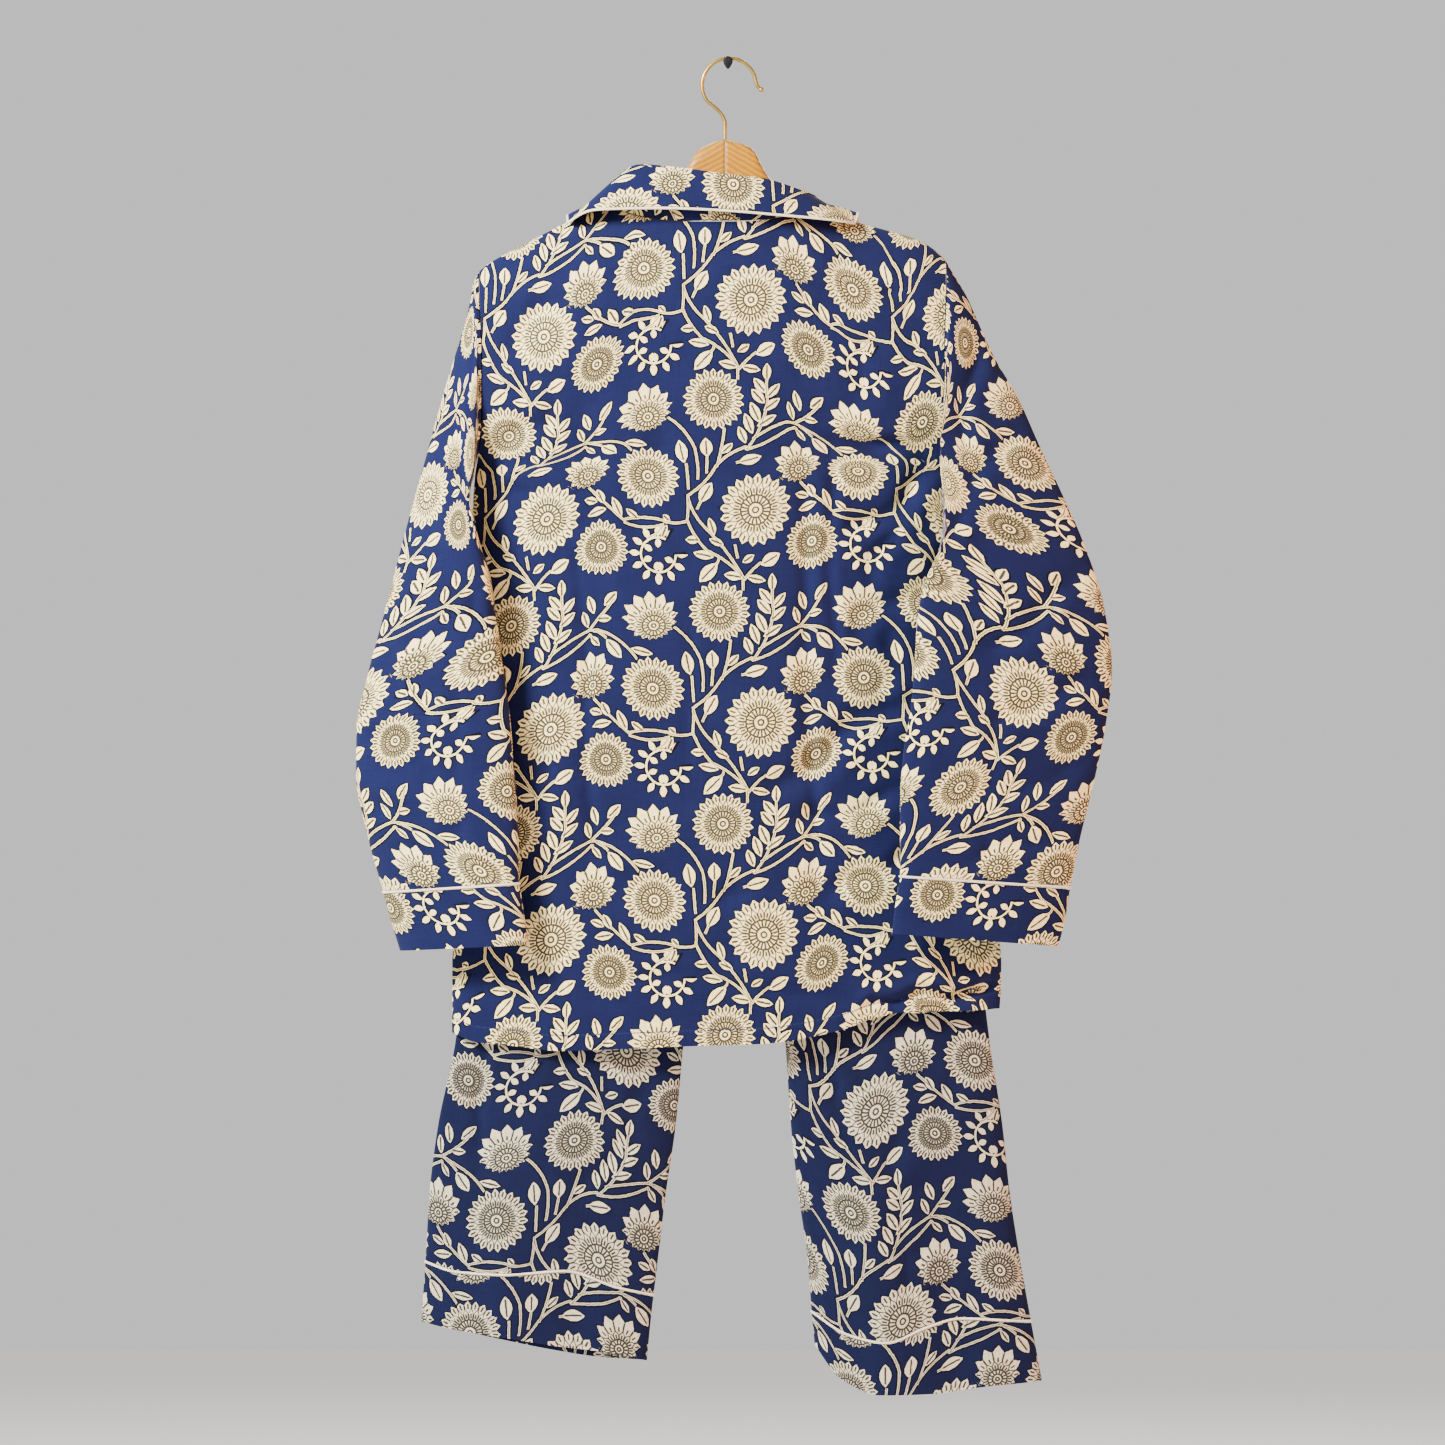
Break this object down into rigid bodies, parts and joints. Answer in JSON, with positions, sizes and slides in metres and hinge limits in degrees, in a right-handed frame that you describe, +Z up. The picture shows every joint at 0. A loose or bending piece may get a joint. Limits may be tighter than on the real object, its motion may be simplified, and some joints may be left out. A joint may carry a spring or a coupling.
{
  "type": "pyjama set on a clothes hanger",
  "caption": "Block-printed cotton pyjama jacket and matching trousers with cream piping, hanging from a light wooden clothes hanger on a small wall nail, seen from the back.",
  "frame": {"origin": "inner crest of the hook, where it rests on the nail", "axes": "+Z up; the back of the garment, which the picture shows, faces -Y; the wall is at +Y; the wearer's right side is at +X"},
  "size_m": [0.634, 0.0979, 1.1247],
  "materials": {
    "printed_cotton": "light plain-woven cotton, block printed with cream flowers on blue",
    "cream_piping": "cream cotton piping cord",
    "light_wood": "light beech, clear lacquer",
    "brass_wire": "brass-plated steel wire",
    "black_nail": "black lacquered steel",
    "shell_button": "cream polyester shell button"
  },
  "bodies": {
    "root": {"jacket_back": "printed_cotton", "jacket_front_left": "printed_cotton", "jacket_front_right": "printed_cotton", "sleeve_left": "printed_cotton", "sleeve_right": "printed_cotton", "cuff_left": "printed_cotton", "cuff_right": "printed_cotton", "collar": "printed_cotton", "trouser_back_left": "printed_cotton", "trouser_back_right": "printed_cotton", "trouser_front_left": "printed_cotton", "trouser_front_right": "printed_cotton", "waistband": "printed_cotton", "hem_band_left": "printed_cotton", "hem_band_right": "printed_cotton", "cuff_piping_left": "cream_piping", "cuff_piping_right": "cream_piping", "collar_piping": "cream_piping", "hem_piping_left": "cream_piping", "hem_piping_right": "cream_piping", "hanger_half_left": "light_wood", "hanger_half_right": "light_wood", "hanger_hook": "brass_wire", "wall_nail": "black_nail", "button_1": "shell_button", "button_2": "shell_button", "button_3": "shell_button", "button_4": "shell_button"}
  },
  "joints": []
}
